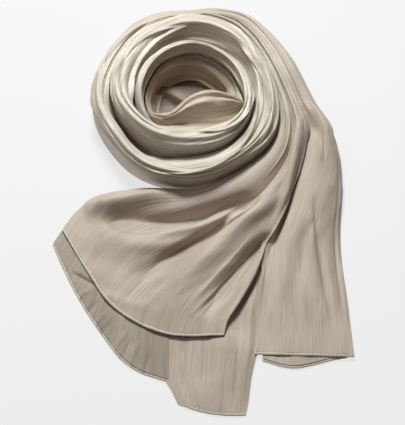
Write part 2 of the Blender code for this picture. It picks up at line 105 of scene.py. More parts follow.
PHOTO_HEIGHT = 425     # pixels
LENS = 1500            # focal length, in the photograph's pixels
SENSOR = 36            # millimetres
CAMERA_AIM = (0.00298, -0.01285, 0.0)  # metres
CAMERA_AWAY = 1.8      # metres
CAMERA_RISE = 60       # degrees above the table
TABLE_HALF = 4         # metres
TABLE_PAINT = (0.12, 0.12, 0.12)
TABLE_GLOW = 0.775     # evens out the table's white, as in a cut-out
ROOM_COLOUR = (1, 0.86, 0.76)
ROOM_LIGHT = 0.15
LAMP_COLOUR = (0.94, 1.0, 0.98)
LAMP_AIM = (0, 0.02, 0.03)  # metres
Lamp = namedtuple("Lamp", "name place size power")
LAMPS = [
    Lamp("window", (-0.18, 0.98, 1.18), 0.4, 31),
    Lamp("side", (-0.9, -0.1, 1.0), 0.5, 2),
]

# How each stretch is crinkled: the seed of its pattern, the width of cloth gathered into it, the
# height of its soft rumples and the strength of its fine crinkle.
Finish = namedtuple("Finish", "seed cloth_width rumples crinkle")
FINISH = {
    "bight": Finish(11, 60, 0.4, 0.7),
    "turns": Finish(21, 72, 0.6, 0.7),
    "left_tail_upper": Finish(51, 230, 0.5, 0.38),
    "left_tail_under": Finish(61, 250, 0.3, 0.4),
    "right_tail_upper": Finish(71, 110, 0.5, 0.4),
    "right_tail_under": Finish(81, 100, 0.3, 0.4),
    "middle_fall": Finish(91, 115, 0.3, 0.4),
}

# The cloth's materials: its colours in the coil and at the ends, and how rough it is. The ends' darker
# colours are painted shade.
Satin = namedtuple("Satin", "coil ends roughness")
SATINS = {
    "crinkle_satin": Satin("satin", "ends_shaded", 0.48),
    # The centre fold's browner, darker tones are painted shade in the coil's hollow.
    "crinkle_satin_fold_shaded": Satin("inside", "inside", 0.5),
    # The layer under the left end shows the cloth's duller back through its roughness; its darker tones
    # are painted shade.
    "crinkle_satin_under_shaded": Satin("back", "back", 0.55),
    # The hidden layers' much darker tones are painted shade deep in the hollow.
    "crinkle_satin_hidden_shaded": Satin("hidden", "hidden", 0.6),
}


def rows_of(kind, rows):
    """The rows of a table, each as one of its kind."""
    return [kind(*row) for row in rows]


# The spiral's sections: how far its crest and the valley outside it are from the axis, and how high.
Turn = namedtuple("Turn", "angle crest height valley dip")
TURNS = rows_of(Turn, [
    (-76, 52.5, 40, 54, 39), (-50, 64.6, 47, 66.5, 41), (-30, 65, 54, 71, 36), (0, 63, 62, 72, 32),
    (30, 62, 63, 72.5, 26), (60, 63.5, 63, 72, 32), (90, 64.5, 64, 71.5, 30),
    (120, 61, 64, 69.5, 30), (150, 60.5, 64, 69.5, 34), (180, 63, 66, 73, 40),
    (210, 70, 65, 78.5, 43), (240, 69.5, 64, 84, 41), (270, 65.6, 64, 85.6, 39),
    (300, 70.5, 63, 86.5, 23), (330, 76, 62, 90, 14), (360, 84, 60, 100, 27),
    (390, 89, 60, 105, 38), (420, 95, 60, 110, 40), (450, 99, 60, 118.5, 40),
    (480, 95, 60, 109, 39), (510, 85, 60, 99.5, 37), (540, 84, 58, 102.5, 34),
    (570, 91.5, 55, 113.5, 29), (600, 101.5, 50, 112, 20), (630, 108, 46, 116.5, 11),
    (660, 109, 43, 117, 4), (690, 105.5, 44, 116.5, 1), (720, 111, 44, 124.5, 1),
    (750, 114, 42, 129.5, 1), (780, 124.5, 41, 140.5, 1), (810, 129.5, 34, 145, 1),
])

# The centre fold: its lip, its foot in the hollow and its outer edge under the inner turn.
Lip = namedtuple("Lip", "x y z foot_x foot_y foot_z out_x out_y out_z")
BIGHT = rows_of(Lip, [
    (63, -13, 46, 52, -3, 22, 64, -22, 35), (46, -8, 54, 40, 1, 18, 57, -33, 27),
    (24, -4, 56, 22, 7, 16, 40, -44, 27), (8, -7, 56, 9, 5, 16, 20, -48, 30),
    (-6, -16, 56, -5, -3, 16, 2, -50, 37), (-16, -28, 55, -20, -14, 16, -15, -50, 41),
    (-27, -37, 54, -30, -24, 16, -31, -48, 41), (-38, -38, 53, -38, -24, 16, -43, -43, 41),
    (-49, -31, 49, -43, -18, 16, -52, -34, 41), (-55.5, -15, 44, -42, -8, 14, -57, -17, 39),
    (-56.5, 4, 42, -41, 3, 14, -58, 4, 39), (-50, 25, 42, -38, 16, 15, -51, 26, 40),
    (-37, 44, 44, -29, 28, 18, -38, 45, 41), (-17, 55.5, 44, -14, 36, 20, -17, 56, 41),
    (7, 57.5, 44, 4, 37, 20, 7, 58, 41), (28, 47.5, 44, 19, 29, 18, 28, 48, 41),
    (44.5, 30.5, 45, 33, 18, 16, 45, 31, 41), (54, 12, 43, 43, 6, 17, 55, 12, 40),
    (59, -1, 43, 46, 3, 20, 60, -2, 40), (61, -12, 46, 51, -2, 20, 62, -14, 41),
])

# The left end's upper layer: its coil side, middle crease and right side, the heights of the two
# rolls between them, and how far the row bows out in each half.
Row = namedtuple("Row", "x y z crease_x crease_y crease_z right_x right_y right_z roll fold bow bow_right")
LEFT_UPPER = rows_of(Row, [
    (-10, 114, 33, -10, 119, 33, -10, 125, 32, 0, 0, 0, 0),
    (11, 120, 41, 14, 125, 41, 19, 130, 39, 1, 1, 0, 0),
    (40, 108, 42, 49, 114, 42, 59, 120, 40, 2, 3, 0, 0),
    (59, 91, 41, 71, 95, 41, 82, 98, 40, 3, 4, 0, 0),
    (76, 69, 40, 87, 69, 40, 99, 70, 38, 4, 5, 0, 0),
    (86, 48, 39, 99, 43, 39, 112, 41, 37, 4, 6, 0, 0),
    (95, 23, 38, 108, 18, 38, 122, 15, 36, 5, 7, 0, 0),
    (102, 2, 36, 115, -4, 37, 130, -8, 35, 5, 8, 0, 0),
    (104, -19, 35, 119, -25, 36, 138, -28, 34, 6, 9, 0, 0),
    (102, -42, 34, 121, -46, 34, 142, -45, 32, 7, 9, 0, 0),
    (91, -71, 31, 116, -75, 31, 136, -72, 29, 8, 9, 0, 0),
    (67, -91, 27, 101, -105, 27, 127, -101, 24.5, 9, 10, 0, 0),
    (42, -104, 23, 76, -134, 22, 115, -130, 20, 10, 10, 0, 0),
    (15, -115, 18, 50, -150, 17, 102, -162, 14.5, 10, 9, 0, 2),
    (-21, -117, 13, 23, -177, 13, 89, -192, 11.5, 9, 8, 1, 3),
    (-55, -114, 10, -9, -197, 11, 77, -219, 9, 8, 7, 2, 5),
    (-90, -117, 8, -32, -217, 9, 63, -247, 7.5, 6, 6, 3, 8),
    (-117, -126, 7, -57, -239, 7.5, 50, -271, 6.5, 5, 5, 3, 11),
    (-140, -145, 6, -76, -258, 6.2, 41, -288, 6, 3, 3, 3, 13),
    (-153, -166, 5.2, -87, -270, 5.2, 37, -304, 6.5, 0.8, 1, 3, 16),
])

# The right end's upper layer: its left side, its foot on the table and the height of its roll.
Band = namedtuple("Band", "x y z foot_x foot_y foot_z roll")
RIGHT_UPPER = rows_of(Band, [
    (-10, 127, 34.5, -10, 143.5, 1.3, 0), (20, 131, 38.5, 27, 144, 1.3, 1),
    (60, 121.5, 40, 63, 136, 1.3, 1), (83, 99, 40, 93, 110, 1.3, 2), (100, 71, 38, 118, 78, 1.3, 3),
    (113, 41, 37, 134, 47, 1.3, 4), (123, 15, 36, 146, 17, 1.3, 4), (131, -8, 35, 155, -4, 1.3, 5),
    (139, -28, 34, 165, -24, 1.3, 5), (143, -45, 32, 173, -43, 1.3, 6),
    (137, -72, 29, 180, -68, 1.3, 6), (128, -101, 25, 182, -100, 1.3, 6),
    (116, -130, 20, 180, -130, 1.3, 6), (103, -162, 14.5, 177, -160, 1.3, 6),
    (90, -192, 10, 176, -190, 1.3, 5), (84, -223, 8, 177, -220, 1.5, 3),
    (80, -262, 7.5, 180, -258, 3, 2), (76, -300, 6.5, 182, -297, 4.2, 1),
    (74, -327, 6.2, 184, -330, 4.2, 0),
])

# Panels that lie on the table, a row across each from its hidden side to the side that shows.
Strip = namedtuple("Strip", "x y end_x end_y bow")
LEFT_UNDER = rows_of(Strip, [
    (-150, -158, -164, -184, 0), (-128, -172, -154, -207, 0), (-112, -202, -139, -239, 0),
    (-92, -232, -121, -272, 0), (-72, -256, -99, -306, 0), (-52, -270, -79, -333, 0),
    (-42, -276, -57, -349, 0), (-27, -280, -27, -360, 0),
])
MIDDLE_FALL = rows_of(Strip, [
    (-24, -185, 100, -160, 0), (-29, -228, 93, -212, 0), (-31, -265, 88, -252, 0),
    (-31, -290, 80, -285, 0), (-31, -315, 78, -315, 0), (-31, -338, 72, -337, 2),
    (-30, -360, 67, -360, 4), (-23, -374, 64, -383, 6), (-17, -387, 61, -400, 5),
])
RIGHT_UNDER = rows_of(Strip, [
    (82, -290, 80, -334, 0), (100, -290, 101, -341, 0), (118, -290, 118, -343, 0),
    (140, -290, 138, -339, 0), (158, -292, 160, -333, 0), (170, -294, 176, -330, 0),
])

# How far the hidden layers reach from their middle, towards the neck of the two ends too.
Reach = namedtuple("Reach", "angle reach")
CORE = rows_of(Reach, [
    (0, 118), (30, 112), (60, 112), (90, 118), (120, 118), (150, 120), (180, 136), (200, 163),
    (215, 190), (230, 195), (245, 165), (260, 130), (280, 118), (300, 115), (330, 115), (360, 118),
])

# Folds laid along a piece: place across it at both ends of the fold (0 to 1), where it starts and
# stops along the piece (0 to 1), its half width as a share of the piece and its height.
Fold = namedtuple("Fold", "across across_end start stop width height")
BIGHT_FOLDS = rows_of(Fold, [
    (0.51, 0.5, 0.03, 0.44, 0.022, 1.3), (0.56, 0.55, 0, 0.42, 0.022, -2.4),
    (0.6, 0.58, 0.1, 0.36, 0.04, 3.4), (0.72, 0.8, -0.04, 0.3, 0.11, -7),
    (0.86, 0.8, 0.06, 0.4, 0.04, -2), (0.38, 0.16, 0.58, 0.98, 0.07, 5),
    (0.46, 0.3, 0.6, 0.94, 0.035, -2.6), (0.12, 0.08, 0.5, 0.95, 0.05, -3),
    (0.36, 0.26, 0.3, 0.62, 0.04, 1.6),
])
# On the turns a fold starts and stops at an angle of the spiral instead.
TURN_FOLDS = rows_of(Fold, [
    (0.72, 0.66, 125, 318, 0.055, 1.8), (0.86, 0.82, 143, 318, 0.045, 1.5),
    (0.3, 0.22, -68, 143, 0.06, -1.4), (0.62, 0.7, -32, 108, 0.05, 1.2),
    (0.78, 0.77, 160, 240, 0.02, -2.7), (0.6, 0.56, 167, 235, 0.02, -2),
    (0.4, 0.44, -15, 230, 0.018, 1.4), (0.14, 0.18, -15, 195, 0.03, 2.7),
    (0.84, 0.78, -22, 125, 0.03, -2.7), (0.66, 0.72, 285, 435, 0.05, 2),
    (0.3, 0.25, 330, 480, 0.05, -1.6), (0.78, 0.66, 435, 615, 0.05, 1.8),
    (0.4, 0.3, 480, 615, 0.045, 1.6), (0.58, 0.62, 300, 450, 0.018, -2.4),
    (0.86, 0.8, 330, 465, 0.024, 2.7), (0.2, 0.16, 345, 486, 0.03, 4.1),
    (0.22, 0.36, 348, 448, 0.03, 6.4), (0.56, 0.52, 486, 615, 0.018, -2.4),
    (0.72, 0.62, 510, 615, 0.018, -2.7), (0.9, 0.84, 465, 600, 0.024, 2.4),
    (0.66, 0.6, 590, 704, 0.05, 2), (0.8, 0.76, 590, 683, 0.045, 1.6),
    (0.34, 0.42, 642, 787, 0.05, -1.8), (0.62, 0.72, 694, 811, 0.05, 2.2),
    (0.9, 0.88, 600, 705, 0.016, -2), (0.22, 0.34, 650, 715, 0.04, 4),
    (0.76, 0.72, 612, 704, 0.02, -2.4), (0.48, 0.46, 704, 809, 0.022, -2.7),
    (0.82, 0.86, 704, 807, 0.028, 2.7), (0.28, 0.22, 683, 798, 0.028, 2.4),
    (0.86, 0.34, 335, 445, 0.03, 2.8), (0.3, 0.84, 545, 665, 0.034, 3),
    (0.84, 0.4, 5, 118, 0.032, -2.2), (0.88, 0.5, 178, 268, 0.03, 2.4),
    (0.86, 0.38, 705, 800, 0.034, 2.8), (0.32, 0.78, 486, 585, 0.03, 2.8),
    (0.84, 0.44, 462, 548, 0.026, 2.4),
])
LEFT_UPPER_FOLDS = rows_of(Fold, [
    (0.3, 0.22, 0, 0.5, 0.04, 2.2), (0.62, 0.66, 0.05, 0.55, 0.04, 2),
    (0.7, 0.72, 0.05, 0.5, 0.02, 1.6), (0.84, 0.82, 0.05, 0.5, 0.03, -2),
    (0.22, 0.3, 0.05, 0.5, 0.022, -1.8), (0.38, 0.4, 0.1, 0.6, 0.02, 1.4),
    (0.97, 1, 0.5, 1.02, 0.014, 2.2),
])
RIGHT_UPPER_FOLDS = rows_of(Fold, [
    (0.3, 0.22, 0.05, 0.45, 0.045, 1.8), (0.52, 0.48, 0.1, 0.6, 0.05, -2),
    (0.7, 0.78, 0.08, 0.55, 0.045, 1.8), (0.86, 0.88, 0.2, 0.95, 0.03, -1.2),
])
MIDDLE_FALL_FOLDS = rows_of(Fold, [
    (0.2, 0.12, 0.55, 1.1, 0.045, 0.8), (0.66, 0.6, 0.1, 1.1, 0.05, 0.9),
    (0.86, 0.9, 0.05, 1, 0.045, 0.9),
])
RIGHT_UNDER_FOLDS = rows_of(Fold, [
    (0.55, 0.85, 0.2, 0.7, 0.1, 1),
])

# A soft ridge or trough: three plan points that its line runs through, its half width at both ends,
# its height, and how far the curve across it leans to its right.
Crease = namedtuple("Crease", "x y mid_x mid_y end_x end_y width end_width height lean")
HOLLOW_CREASES = rows_of(Crease, [
    (-44, 32, -28, 18, -10, 3, 13, 12, 13, -0.6),
])
LEFT_CREASES = rows_of(Crease, [
    (-130, -143, -84, -135, -8, -126, 12, 9, 12.5, 0),
    (-105, -152, -32, -167, 82, -133, 13, 7, -21, -0.3),
    (-94, -184, -14, -192, 82, -141, 10, 6, 3.5, 0),
    (82, -140, 22, -179, -62, -236, 4, 8, -16, 0.2), (68, -143, -2, -167, -82, -201, 5, 12, 4, 0),
    (103, -129, 46, -182, -23, -256, 8, 14, 8, 0),
    (93, -180, 60, -222, 10, -286, 5.5, 8.5, -14, 0.2),
    (86, -207, 62, -250, 34, -295, 3, 4, 3.5, 0), (132, -24, 118, -100, 93, -180, 4.5, 4, 6, 0),
    (81, -190, 41, -236, -5, -288, 1.6, 2.4, 1.6, 0),
    (85, -193, 47, -238, 2, -290, 1.3, 2.2, 1.3, 0), (73, -182, 34, -228, -14, -284, 1.8, 3, 1, 0),
    (-144, -198, -96, -214, -26, -252, 14, 18, -2, 0),
    (-113, -249, -84, -263, -37, -276, 5, 10, 1.4, 0),
])
UNDER_CREASES = rows_of(Crease, [
    (-141, -224, -126, -233, -112, -242, 3.2, 3.8, 2.2, 0.4),
    (-117, -245, -130, -256, -141, -268, 2.2, 3.5, -1.2, 0),
    (-107, -261, -120, -276, -131, -292, 2.2, 4.2, 1.1, 0),
    (-97, -272, -109, -289, -120, -305, 1.9, 3.2, -0.9, 0),
    (-89, -284, -102, -302, -111, -319, 2.6, 4.2, 1.2, 0),
    (-74, -299, -86, -319, -94, -337, 2.2, 3.8, -1.2, 0),
    (-66, -307, -77, -327, -85, -345, 2.1, 3.5, 0.9, 0),
    (-60, -312, -68, -333, -74, -351, 2.2, 4.2, -1.1, 0),
    (-46, -322, -51, -342, -55, -361, 2.4, 3.8, 1.1, 0),
])
RIGHT_CREASES = rows_of(Crease, [
    (146, -131, 148, -198, 162, -295, 3, 5, -2.2, -0.3),
    (140, -144, 140, -205, 146, -295, 6, 9, 1.6, 0),
    (142, -161, 129, -209, 116, -291, 5, 8, -2.2, 0.3),
    (135, -28, 156, -62, 172, -117, 8, 13, -5, 0), (129, -5, 155, -28, 176, -59, 6, 7, 2.5, 0),
    (126, -147, 108, -215, 91, -320, 8, 10, 1.5, 0),
    (171, -136, 170, -214, 174, -301, 5, 8, -1.4, 0),
    (96, -200, 85, -236, 80, -302, 2.2, 3.5, -2, 0),
    (130, -31, 118, -116, 81, -227, 5, 4.5, -8.5, 0),
])
MIDDLE_CREASES = rows_of(Crease, [
    (-25, -314, -18, -351, 0, -395, 7, 8, -0.9, 0), (39, -299, 38, -343, 34, -400, 22, 26, 3.2, 0),
    (12, -309, 14, -337, 12, -367, 1.6, 2.4, -0.9, 0), (65, -248, 66, -299, 58, -386, 5, 7, 1.8, 0),
    (23, -299, 25, -343, 22, -398, 2.5, 4, 1, 0), (50, -286, 52, -337, 47, -392, 2.5, 4, -0.9, 0),
])

# How much a roll's inner side hollows in (0 to 1) and how full its outer side is (small is square),
# by angle on the turns and by row on the centre fold.
Side = namedtuple("Side", "at amount")
TURN_TUCK = rows_of(Side, [
    (400, 0), (435, 1), (505, 1), (545, 0), (640, 0), (662, 1), (705, 1), (725, 0),
])
TURN_FULL = rows_of(Side, [
    (-76, 0.7), (180, 0.7), (225, 0.4), (285, 0.4), (305, 0.4), (345, 0.45), (400, 1.2), (480, 1.2),
    (540, 0.7), (590, 0.28), (690, 0.28), (750, 0.7),
])
BIGHT_TUCK = [Side(6.5, 0), Side(8.5, 1), Side(16.5, 1), Side(18, 0)]
BIGHT_FULL = [Side(0, 1.2), Side(1, 1.4), Side(4, 1.4), Side(6.5, 1)]
# How far the right end's start is tucked under the left end, by its place up or down the table.
RIGHT_TUCK = [Side(-223, 2.5), Side(-192, 9), Side(-125, 9), Side(-90, 2.5)]


def linear(code):
    """Linear red, green and blue from an sRGB hex code."""
    parts = [int(code[i:i + 2], 16) / 255 for i in (1, 3, 5)]
    return [v / 12.92 if v <= 0.04045 else ((v + 0.055) / 1.055) ** 2.4 for v in parts]


def eased(share):
    """A soft step from 0 to 1, level at both ends."""
    share = np.clip(share, 0, 1)
    return share * share * (3 - 2 * share)


def amount(rows, at):
    """The amount at a place, straight between the rows of a table."""
    return np.interp(at, [row.at for row in rows], [row.amount for row in rows])


def through(values, at):
    """Cubic through evenly spaced values: each value's slope is half the step between its neighbours.

    values has its steps along the first axis, and at holds places counted in those steps.
    """
    values = np.asarray(values, float)
    at = np.clip(np.asarray(at, float), 0, len(values) - 1)
    i = np.minimum(at.astype(int), len(values) - 2)
    u = (at - i).reshape(at.shape + (1,) * (values.ndim - 1))
    before = values[np.maximum(i - 1, 0)]
    after = values[np.minimum(i + 2, len(values) - 1)]
    a, b = values[i], values[i + 1]
    slope_a = (b - before) / 2
    slope_b = (after - a) / 2
    return (
        a * (1 + 2 * u) * (1 - u) ** 2
        + b * u * u * (3 - 2 * u)
        + slope_a * u * (1 - u) ** 2
        - slope_b * u * u * (1 - u)
    )


def column(rows, name, at):
    """One column of a table at places counted in rows."""
    return through([getattr(row, name) for row in rows], at)


def turn_at(name, angle):
    """One column of the turns at an angle in degrees."""
    angles = [turn.angle for turn in TURNS]
    return column(TURNS, name, np.interp(angle, angles, range(len(angles))))


def polar(radius, angle):
    """Plan position at a radius and an angle clockwise from the left."""
    a = np.radians(angle)
    return -radius * np.cos(a), radius * np.sin(a)


def heading_of(x, y):
    """Direction of a plan position, in degrees clockwise from the left."""
    return np.degrees(np.arctan2(y, -x)) % 360


def bight_edge(angle):
    """Radius and height of the centre fold's outer edge in a direction from the axis."""
    place = np.linspace(0, len(BIGHT) - 1, LINE_POINTS)
    x, y, z = (column(BIGHT, name, place) for name in ("out_x", "out_y", "out_z"))
    radius = np.interp(angle, heading_of(x, y), np.hypot(x, y), period=360)
    return radius, np.interp(angle, heading_of(x, y), z, period=360)


def inner_foot(angle):
    """Radius and height where a turn meets the turn or fold inside it."""
    radius, height = bight_edge(angle)
    share = eased((angle - SPIRAL_FROM) / SPIRAL_OVER)
    radius = radius + (turn_at("valley", angle - 360) - radius) * share
    height = height + (turn_at("dip", angle - 360) - height) * share
    return radius + FOOT_CLEAR, height


def relief(folds, along, across):
    """Height of the listed folds: a bell curve across each, faded in and out along it."""
    total = np.zeros(np.broadcast(along, across).shape)
    for fold in folds:
        share = np.clip((along - fold.start) / (fold.stop - fold.start), 0, 1)
        middle = fold.across + (fold.across_end - fold.across) * share
        fade = np.clip(np.sin(math.pi * share) * 2.2, 0, 1)
        total = total + fold.height * fade * np.exp(-(((across - middle) / fold.width) ** 2))
    return total


def creased(creases, x, y, capped=True):
    """Height of creases at plan places: a bell curve across each line, faded at a capped line's ends.

    A line is the parabola through its three points, and its width changes evenly along it.
    """
    total = np.zeros(np.shape(x))
    at = np.linspace(0, 1, CREASE_STEPS + 1)
    for crease in creases:
        points = np.array(crease[:6], float).reshape(3, 2)
        weights = ((1 - at) * (1 - 2 * at), 4 * at * (1 - at), at * (2 * at - 1))
        line = sum(w[:, None] * p for w, p in zip(weights, points))
        best = np.full(np.shape(x), 1e9)
        share = np.zeros(np.shape(x))
        for k in range(CREASE_STEPS):
            step = line[k + 1] - line[k]
            away_x, away_y = x - line[k, 0], y - line[k, 1]
            along = np.clip((away_x * step[0] + away_y * step[1]) / (step @ step), 0, 1)
            gap_x, gap_y = away_x - step[0] * along, away_y - step[1] * along
            gap = np.hypot(gap_x, gap_y)
            side = np.where(step[0] * gap_y - step[1] * gap_x > 0, -1.0, 1.0)
            nearer = gap < np.abs(best)
            best = np.where(nearer, gap * side, best)
            share = np.where(nearer, (k + along) / CREASE_STEPS, share)
        width = crease.width + (crease.end_width - crease.width) * share
        width = width * (1 + crease.lean * np.sign(best))
        fade = np.clip(np.sin(math.pi * share) * 1.3, 0, 1) if capped else 1
        total = total + crease.height * fade * np.exp(-((best / width) ** 2))
    return total


def rolled(foot, crest, out, across, tuck, full):
    """A roll: two quarter ellipses, upright at its foot and outer edge and level at its crest.

    tuck, from 0 to 1, hollows the side from foot to crest, and a small full squares the other side.
    """
    across = np.broadcast_to(np.linspace(0, 1, across), (len(foot), across))
    tuck, full = tuck[:, None], full[:, None]
    rising = across < 0.5
    a = np.where(rising, across * 2, 2 - across * 2) * (math.pi / 2)
    level, lift = 1 - np.cos(a), np.sin(a)
    level = np.where(rising, level ** (1 - 0.7 * tuck), level)
    lift = np.clip(lift, 1e-9, 1) ** np.where(rising, 1 + 0.8 * tuck, full)
    ends = np.where(rising[..., None], foot[:, None, :], out[:, None, :])
    points = np.empty(ends.shape)
    points[..., :2] = ends[..., :2] + (crest[:, None, :2] - ends[..., :2]) * level[..., None]
    points[..., 2] = ends[..., 2] + (crest[:, None, 2] - ends[..., 2]) * lift
    return points


def lengths(points, axis):
    """Distance run along one axis of a grid of points, from its first point."""
    step = np.linalg.norm(np.diff(points, axis=axis), axis=-1)
    start = np.zeros_like(np.take(step, [0], axis=axis))
    return np.cumsum(np.concatenate([start, step], axis=axis), axis=axis)


def middle_run(points):
    """Distance run down the middle line of a grid, one value for each row."""
    return lengths(points, 0)[:, points.shape[1] // 2][:, None]


def normals_of(points):
    """Unit normals of a grid: the cross product of its steps along and across."""
    normal = np.cross(np.gradient(points, axis=0), np.gradient(points, axis=1))
    return normal / np.maximum(np.linalg.norm(normal, axis=-1, keepdims=True), 1e-9)


def crinkle(points, finish):
    """Height of the lengthwise crinkle over a grid, in millimetres.

    A sum of sine waves across the cloth, each with the same count from edge to edge all along. A wave
    counts where its local pitch is near the wanted one, so lines join where the cloth is gathered.
    Slow waves along the cloth bend the lines and make their height uneven.
    """
    sizes = bpy.context.scene.scarf_sizes
    pitch, depth = sizes.crinkle_pitch / MM, sizes.crinkle_depth / MM
    chance = np.random.default_rng(finish.seed)
    across = lengths(points, 1)
    width = np.maximum(across[:, -1:], 1.0)
    t, s = across / width, middle_run(points)
    total = np.zeros(across.shape)
    for octave in np.arange(-3.0, 1.3, 0.32):
        count = finish.cloth_width / pitch * 2.0 ** octave
        local = width / count
        share = np.exp(-((np.log(local / pitch) / 0.42) ** 2))
        phase, bend, bend_far = chance.uniform(0, 2 * math.pi, 3)
        run, far = chance.uniform(30, 80), chance.uniform(120, 320)
        line = 2 * math.pi * count * t + phase
        line = line + 1.1 * np.sin(2 * math.pi * s / run + bend + 3 * t)
        line = line + 1.6 * np.sin(2 * math.pi * s / far + bend_far)
        beat, slant = chance.uniform(28, 70), chance.uniform(2, 7)
        uneven = 0.62 + 0.38 * np.sin(2 * math.pi * (s / beat + t * slant) + phase)
        total = total + share * uneven * np.sin(line) * local / pitch
    return total * depth * finish.crinkle * 0.62


def rumple(points, seed, height):
    """Height of soft uneven ridges: sine waves much longer along the cloth than across it."""
    chance = np.random.default_rng(seed)
    across, s = lengths(points, 1), middle_run(points)
    total = np.zeros(across.shape)
    for _ in range(RUMPLES):
        cross = chance.uniform(RUMPLE_NARROW, RUMPLE_WIDE)
        along = chance.uniform(70, 260)
        lean = chance.choice([-1, 1])
        phase, beat = chance.uniform(0, 2 * math.pi, 2)
        swell = 0.5 + 0.5 * np.sin(2 * math.pi * s / (along * 1.3) + beat)
        wave = np.sin(2 * math.pi * (across / cross + lean * s / along) + phase)
        total = total + wave * swell * cross / RUMPLE_WIDE
    return total * height / 2.6


def rim_fade(points, reach):
    """1 inside a piece, falling to 0 at its long edges over a few millimetres."""
    across = lengths(points, 1)
    return eased(np.minimum(across, across[:, -1:] - across) / reach)


def crinkled(base, finish, folds=(), span=(0, 1), creases=(), lowest=None):
    """A base grid moved out along its normals by its folds, creases, rumples and crinkle.

    span is what the folds' starts and stops count in, and lowest keeps troughs softly above a height.
    """
    rows, across = base.shape[:2]
    along, t = np.linspace(*span, rows)[:, None], np.linspace(0, 1, across)[None, :]
    height = relief(folds, along, t)
    height = height + rumple(base, finish.seed + 1, finish.rumples) * rim_fade(base, RUMPLE_RIM)
    height = height + creased(creases, base[..., 0], base[..., 1])
    moved = base + normals_of(base) * height[..., None]
    if lowest is not None:
        above = (moved[..., 2] - lowest) / SOFT_STOP
        moved[..., 2] = lowest + np.logaddexp(0, above) * SOFT_STOP
    fine = crinkle(base, finish) * rim_fade(base, CRINKLE_RIM)
    return moved + normals_of(moved) * fine[..., None]


def grid_faces(rows, across):
    """Quads between the points of an open grid, counted row by row."""
    i, j = np.meshgrid(np.arange(rows - 1), np.arange(across - 1), indexing="ij")
    a = i * across + j
    return np.stack([a, a + across, a + across + 1, a + 1], -1).reshape(-1, 4)


def ring_faces(rings, around):
    """Quads between closed rings of points, counted ring by ring."""
    i, j = np.meshgrid(np.arange(rings - 1), np.arange(around), indexing="ij")
    a, b = i * around + j, i * around + (j + 1) % around
    return np.stack([b, b + around, a + around, a], -1).reshape(-1, 4)


def make_piece(name, points, faces, surface, uv):
    """A smooth object at the origin, from points in millimetres about the coil's axis.

    uv gives each point's place on the flat cloth. Open edges are marked sharp.
    """
    placed = (np.asarray(points, float).reshape(-1, 3) + (COIL_X, COIL_Y, 0)) * MM
    faces = np.asarray(faces, np.int32)
    corners = faces.ravel()
    mesh = bpy.data.meshes.new(name)
    mesh.vertices.add(len(placed))
    mesh.vertices.foreach_set("co", placed.astype(np.float32).ravel())
    mesh.loops.add(faces.size)
    mesh.loops.foreach_set("vertex_index", corners)
    mesh.polygons.add(len(faces))
    mesh.polygons.foreach_set("loop_start", np.arange(0, faces.size, faces.shape[1], dtype=np.int32))
    mesh.polygons.foreach_set("use_smooth", np.ones(len(faces), bool))
    mesh.update(calc_edges=True)
    layer = mesh.uv_layers.new(name="cloth")
    layer.data.foreach_set("uv", (uv.reshape(-1, 2)[corners] * MM).astype(np.float32).ravel())
    mesh.validate()
    edges = np.empty(len(mesh.loops), np.int32)
    mesh.loops.foreach_get("edge_index", edges)
    mesh.edges.foreach_set("use_edge_sharp", np.bincount(edges, minlength=len(mesh.edges)) == 1)
    mesh.materials.append(surface)
    piece = bpy.data.objects.new(name, mesh)
    bpy.context.scene.collection.objects.link(piece)
    return piece


def cap_ends(piece):
    """Closes the open ends of a tube with one face each and turns every face outwards."""
    shape = bmesh.new()
    shape.from_mesh(piece.data)
    bmesh.ops.holes_fill(shape, edges=shape.edges, sides=0)
    bmesh.ops.recalc_face_normals(shape, faces=shape.faces)
    shape.to_mesh(piece.data)
    shape.free()
    piece.data.polygons.foreach_set("use_smooth", np.ones(len(piece.data.polygons), bool))


def cloth_uv(points, cloth_width):
    """Places on the flat cloth: across from edge to edge, and along down the middle line."""
    across = lengths(points, 1)
    t = across / np.maximum(across[:, -1:], 1e-6)
    return np.stack([t * cloth_width, middle_run(points) + 0 * t], -1)


def hem_line(points):
    """The last row of a panel and its level directions outwards, in even steps."""
    edge, out = points[-1], (points[-1] - points[-4]) * (1, 1, 0)
    run = lengths(edge, 0)
    at = np.linspace(0, run[-1], int(run[-1] / HEM_STEP) + 1)
    line = np.stack([np.interp(at, run, edge[:, k]) for k in range(3)], -1)
    side = np.stack([np.interp(at, run, out[:, k]) for k in range(3)], -1)
    pad = np.pad(side, ((HEM_BLUR, HEM_BLUR), (0, 0)), mode="edge")
    kernel = np.ones(2 * HEM_BLUR + 1) / (2 * HEM_BLUR + 1)
    side = np.stack([np.convolve(pad[:, k], kernel, "valid") for k in range(3)], -1)
    return line, side / np.linalg.norm(side, axis=1, keepdims=True), at


def make_hem(node, points):
    """An overlocked hem: an oval carried along the last row of a panel.

    Its thread swells the oval in slanting stitches, and it waves a little up and down.
    """
    sizes = bpy.context.scene.scarf_sizes
    width, pitch = sizes.hem_width / MM, sizes.stitch_pitch / MM
    line, side, at = hem_line(points)
    turns = np.linspace(0, 2 * math.pi, HEM_SIDES, endpoint=False)[None, :]
    stitch = np.sin(2 * math.pi * at[:, None] / pitch + 1.1 * np.cos(turns))
    swell = HEM_SWELL * np.clip(stitch, -0.2, 1) * np.clip(np.sin(turns) + 0.4, 0, 1)
    centre = line + side * (width / 2 - HEM_LAP)
    centre[:, 2] = line[:, 2] - HEM_HALF + 0.15 * np.sin(at / 9)
    rings = (
        centre[:, None, :]
        + side[:, None, :] * (np.cos(turns) * (width / 2 + swell))[..., None]
        + np.array([0, 0, 1.0]) * (np.sin(turns) * (HEM_HALF + swell))[..., None]
    )
    uv = np.stack(np.broadcast_arrays(turns / (2 * math.pi) * HEM_GIRTH, at[:, None]), -1)
    faces = ring_faces(len(rings), HEM_SIDES)
    hem = make_piece(f"{node}_stitched", rings, faces, material("overlock_thread"), uv)
    cap_ends(hem)
    return hem


